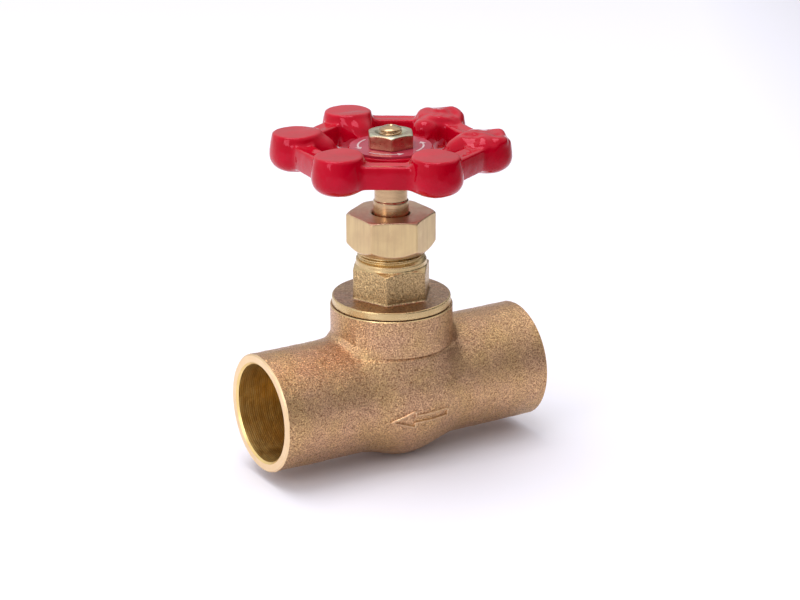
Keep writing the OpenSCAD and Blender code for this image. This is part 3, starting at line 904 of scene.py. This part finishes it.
def knob_field(g, k):
    """A barrel, widest low down, with a crisp flat top."""
    a = math.radians(KNOB_ANGLE + 60 * k)
    kx, ky = KNOB_CIRCLE_R * math.cos(a), KNOB_CIRCLE_R * math.sin(a)
    r = np.sqrt((g.x - kx) ** 2 + (g.y - ky) ** 2)
    above = np.maximum(g.z - KNOB_WAIST, 0)
    below = np.maximum(KNOB_WAIST - g.z, 0)
    barrel = r + 0.026 * above**2 + 0.05 * below**2
    top_edge = 0.9 if k in ROUGH_KNOBS else 0.28
    return round_rod(barrel, g.z, KNOB_R, KNOB_BOTTOM + 0.2, KNOB_TOP, 1.9, top_edge)


def wheel_field(g):
    """Hub, six arms with their knobs, and six rim bars."""
    d = round_rod(g.r, g.z, HUB_R, HUB_BOTTOM, HUB_TOP, 0.8, 0.2)
    for k in range(6):
        u, v = g.turned(KNOB_ANGLE + 60 * k)
        # Spoke: an arm that climbs outward from the hub, then a rounded hump against the knob
        arm_top = ARM_TOP_AT_HUB + ARM_CLIMB * (u - HUB_R)
        arm = np.maximum(round_box(u - 12.5, v, g.z - 54.9, (7.0, 1.9, 2.5), 1.2), (g.z - arm_top) * 0.95)
        d = blend(d, arm, 1.0)
        hump_radius, hump_top, fillet = UPRIGHT_HUMP if k == UPRIGHT_KNOB else HUMP
        hump_r = np.sqrt((u - HUMP_R) ** 2 + v**2)
        hump = round_rod(hump_r, g.z, hump_radius, HUB_BOTTOM + 0.6, hump_top, 1.4, 1.7)
        d = blend(d, blend(hump, knob_field(g, k), fillet), 1.1)
        u, v = g.turned(KNOB_ANGLE + 30 + 60 * k)
        # Rim bar: convex faces and a slightly dished top between two thin lips
        bulge = 0.05 * (g.z - BAR_MID_Z) ** 2
        dish = 0.22 * np.exp(-(((u - BAR_MID_R) / 1.3) ** 2))
        sides = round_box(u - BAR_MID_R, v, g.z - BAR_MID_Z, (BAR_W / 2, 11.5, BAR_H / 2), 0.9)
        bar = np.maximum(sides, np.abs(u - BAR_MID_R) + bulge - BAR_W / 2)
        bar = np.maximum(bar, g.z - (BAR_MID_Z + BAR_H / 2) + dish)
        d = blend(d, bar, 0.9)
    u, v = g.turned(KNOB_ANGLE)
    socket = np.maximum(np.abs(u), np.abs(v)) - SOCKET_HALF
    d = np.maximum(d, -socket)
    seat = np.maximum(g.r - PLATE_HIGH[0] - 0.1, HUB_TOP - g.z)
    return np.maximum(d, -seat)


def lump_mask(points):
    """1 over the tops of the two knobs whose castings were left rough, 0 elsewhere."""
    mask = np.zeros(len(points))
    for k in ROUGH_KNOBS:
        a = math.radians(KNOB_ANGLE + 60 * k)
        kx, ky = KNOB_CIRCLE_R * math.cos(a), KNOB_CIRCLE_R * math.sin(a)
        far = np.hypot(points[:, 0] - kx, points[:, 1] - ky)
        mask = np.maximum(mask, np.clip((6.4 - far) / 1.0, 0, 1))
    return mask * np.clip((points[:, 2] - (KNOB_TOP - 2.6)) / 1.6, 0, 1)


def make_wheel():
    """The enamelled casting, with two knobs left lumpy."""
    g = Grid((-28, -28, KNOB_BOTTOM - 0.8), (28, 28, KNOB_TOP + 1.6), 0.26)
    wheel = skin("enamelled_wheel", g, wheel_field(g))
    roughen(wheel, [(0.05, 3.0, 7), (0.02, 1.0, 8)])
    roughen(wheel, [(0.55, 3.3, 21), (0.2, 1.5, 22)], lump_mask)
    paint(wheel, [ENAMEL])
    smooth(wheel, 70)
    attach(wheel, "stem_assembly")
    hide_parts("handwheel")


# ---------------------------------------------------------------- marks on the plate

MARK_R = 7.3
MARK_W = 0.42
MARK_HEAD = 1.5
MARK_TURN = 52
MARK_LIFT = 0.03
MARK_STARTS = (-70, 20, 110, 200)


def turned_arrow(start):
    """Points and faces of an anticlockwise arrow on the plate that starts at an angle."""
    points = []
    faces = []
    steps = 18
    for i in range(steps + 1):
        a = math.radians(start + MARK_TURN * i / steps)
        for r in (MARK_R - MARK_W / 2, MARK_R + MARK_W / 2):
            points.append((r * math.cos(a), r * math.sin(a)))
    for i in range(steps):
        faces.append((2 * i, 2 * i + 1, 2 * i + 3, 2 * i + 2))
    end = math.radians(start + MARK_TURN)
    n = len(points)
    for r in (MARK_R - MARK_HEAD * 0.55, MARK_R + MARK_HEAD * 0.55):
        points.append((r * math.cos(end), r * math.sin(end)))
    tip = end + MARK_HEAD / MARK_R
    points.append((MARK_R * math.cos(tip), MARK_R * math.sin(tip)))
    faces += [(n - 2, n - 1, n + 2), (n, n - 2, n + 2), (n - 1, n + 1, n + 2)]
    return points, faces


def make_plate_marks():
    """Worn white turning arrows, in place of the lettering on the real plate."""
    points = []
    faces = []
    for start in MARK_STARTS:
        arrow_points, arrow_faces = turned_arrow(start)
        shift = len(points)
        points += [(x, y, PLATE_HIGH[2] + MARK_LIFT) for x, y in arrow_points]
        faces += [tuple(i + shift for i in face) for face in arrow_faces]
    marks = new_object("plate_marks", points, faces)
    solid = marks.modifiers.new("ink", "SOLIDIFY")
    solid.thickness = MARK_LIFT * 0.8 * MM
    solid.offset = 0
    apply_modifiers(marks)
    outward(marks)
    paint(marks, [INK])
    smooth(marks, 30)
    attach(marks, "stem_assembly")


# ---------------------------------------------------------------- CAD pieces kept as they are


def dress_cad():
    """Materials for the pieces that keep their CAD shape."""
    looks = {
        "bonnet_gasket": GASKET,
        "packing_washer": INNER,
        "packing_ring_lower": PACKING,
        "packing_ring_middle": PACKING,
        "packing_ring_upper": PACKING,
        "packing_gland": INNER,
        "disc_holder": INNER,
        "swivel_nut": INNER,
        "seat_disc": RUBBER,
        "disc_washer": INNER,
        "disc_screw": INNER,
        "index_plate": PLATE,
    }
    for name, look in looks.items():
        paint(frame["nodes"][name], [look])


# ---------------------------------------------------------------- floor, light and camera

# Strength of the surroundings towards the viewer, behind, and overhead
DARK_GLOW = 0.03
SIDE_GLOW = 0.95
TOP_GLOW = 1.02
BRIGHT_SIDE = (-0.86, 0.51, 0.0)
FLOOR_SIZE = 3.0
# Painted shade: the floor darkens along this direction, between these two distances in metres
FLOOR_FALLOFF = (0.85, -0.53, 0.0)
FALLOFF_FROM = 0.11
FALLOFF_TO = 0.34


def make_floor():
    """A pale floor under the valve, with painted shade darkening it far off to the front right."""
    mesh = bpy.data.meshes.new("floor")
    corners = [(FLOOR_SIZE * x, FLOOR_SIZE * y, 0) for x, y in ((-1, -1), (1, -1), (1, 1), (-1, 1))]
    mesh.from_pydata(corners, [], [(0, 1, 2, 3)])
    floor = bpy.data.objects.new("floor", mesh)
    bpy.context.scene.collection.objects.link(floor)
    p = Paint("pale_floor", Metallic=0.0)
    p.shader.inputs["Specular IOR Level"].default_value = 0.1
    cloud = p.noise(300.0, detail=1.0)
    sheet = p.mix(cloud, (0.83, 0.82, 0.88), (0.85, 0.84, 0.895))
    far = p.add("ShaderNodeVectorMath", {0: p.place, 1: FLOOR_FALLOFF}, operation="DOT_PRODUCT")
    shade = p.scale(far.outputs["Value"], 0.0, 1.0, FALLOFF_FROM, FALLOFF_TO)
    # Painted shade on the floor colour, deepening along the falloff direction
    p.link(p.mix(shade, sheet, (0.30, 0.30, 0.31)), "Base Color")
    p.link(p.scale(cloud, 0.85, 0.95), "Roughness")
    mesh.materials.append(p.material)


def aim(obj, target):
    """Points a light at a place."""
    direction = Vector(target) - obj.location
    obj.rotation_euler = direction.to_track_quat("-Z", "Y").to_euler()


def area_light(name, place, target, size, power):
    data = bpy.data.lights.new(name, "AREA")
    data.shape = "RECTANGLE"
    data.size, data.size_y = size
    data.energy = power
    light = bpy.data.objects.new(name, data)
    bpy.context.scene.collection.objects.link(light)
    light.location = place
    aim(light, target)


def make_light():
    """Two soft boxes, and a world whose glow depends on direction."""
    middle = (0, 0, 0.035)
    area_light("overhead", (-0.12, 0.08, 0.80), middle, (0.62, 0.46), 3.4)
    area_light("key_left", (-0.75, -0.22, 0.34), middle, (0.28, 0.40), 1.3)
    world = bpy.data.worlds.new("studio")
    world.use_nodes = True
    bpy.context.scene.world = world
    sky = Nodes(world.node_tree)
    # A white tent: open and dark towards the viewer, lit from above and a little from behind
    direction = sky.add("ShaderNodeTexCoord").outputs["Generated"]
    parts = sky.add("ShaderNodeSeparateXYZ", {"Vector": direction}).outputs
    bright_side = sky.add("ShaderNodeVectorMath", {0: direction, 1: BRIGHT_SIDE}, operation="DOT_PRODUCT")
    side_range = {"From Min": -0.7, "From Max": 0.9, "To Min": DARK_GLOW, "To Max": SIDE_GLOW}
    back = sky.add("ShaderNodeMapRange", {"Value": bright_side.outputs["Value"], **side_range})
    climb = sky.add("ShaderNodeMapRange", {"Value": parts["Z"], "From Min": 0.12, "From Max": 0.75})
    climb.interpolation_type = "SMOOTHSTEP"
    level = sky.add("ShaderNodeMix", data_type="FLOAT")
    sky.tree.links.new(climb.outputs["Result"], level.inputs[0])
    sky.tree.links.new(back.outputs["Result"], level.inputs[2])
    level.inputs[3].default_value = TOP_GLOW
    background = sky.tree.nodes["Background"]
    sky.tree.links.new(level.outputs[0], background.inputs["Strength"])
    background.inputs["Color"].default_value = (0.97, 0.965, 1.0, 1)


# Where the camera stands: turn from straight ahead, climb, distance in metres, and tilt of the picture
CAMERA_AZIMUTH = -30.65
CAMERA_ELEVATION = 19.766
CAMERA_DISTANCE = 0.57063
CAMERA_ROLL = -0.176
CAMERA_AIM_X = 0.002282
CAMERA_AIM_Z = 20.128
CAMERA_LENS = 113.03


def make_camera():
    """The camera, at the angle of the photograph."""
    a, e = math.radians(CAMERA_AZIMUTH), math.radians(CAMERA_ELEVATION)
    target = Vector((CAMERA_AIM_X, 0, (CAMERA_AIM_Z + AXIS_Z) * MM))
    back = Vector((math.sin(a) * math.cos(e), -math.cos(a) * math.cos(e), math.sin(e)))
    data = bpy.data.cameras.new("camera")
    data.sensor_width = 36.0
    data.lens = CAMERA_LENS
    data.clip_start = 0.01
    camera = bpy.data.objects.new("camera", data)
    bpy.context.scene.collection.objects.link(camera)
    camera.location = target + back * CAMERA_DISTANCE
    turn = (-back).to_track_quat("-Z", "Y").to_matrix()
    spin = Vector((0, 0, 1))
    camera.rotation_euler = (turn @ Matrix.Rotation(math.radians(CAMERA_ROLL), 3, spin)).to_euler()
    bpy.context.scene.camera = camera


bpy.context.scene.view_settings.view_transform = "Standard"
casting = make_body()
make_arrow(casting)
make_bonnet()
make_packing_nut()
make_stem()
make_wheel_nut()
make_wheel()
make_plate_marks()
dress_cad()
make_floor()
make_light()
make_camera()
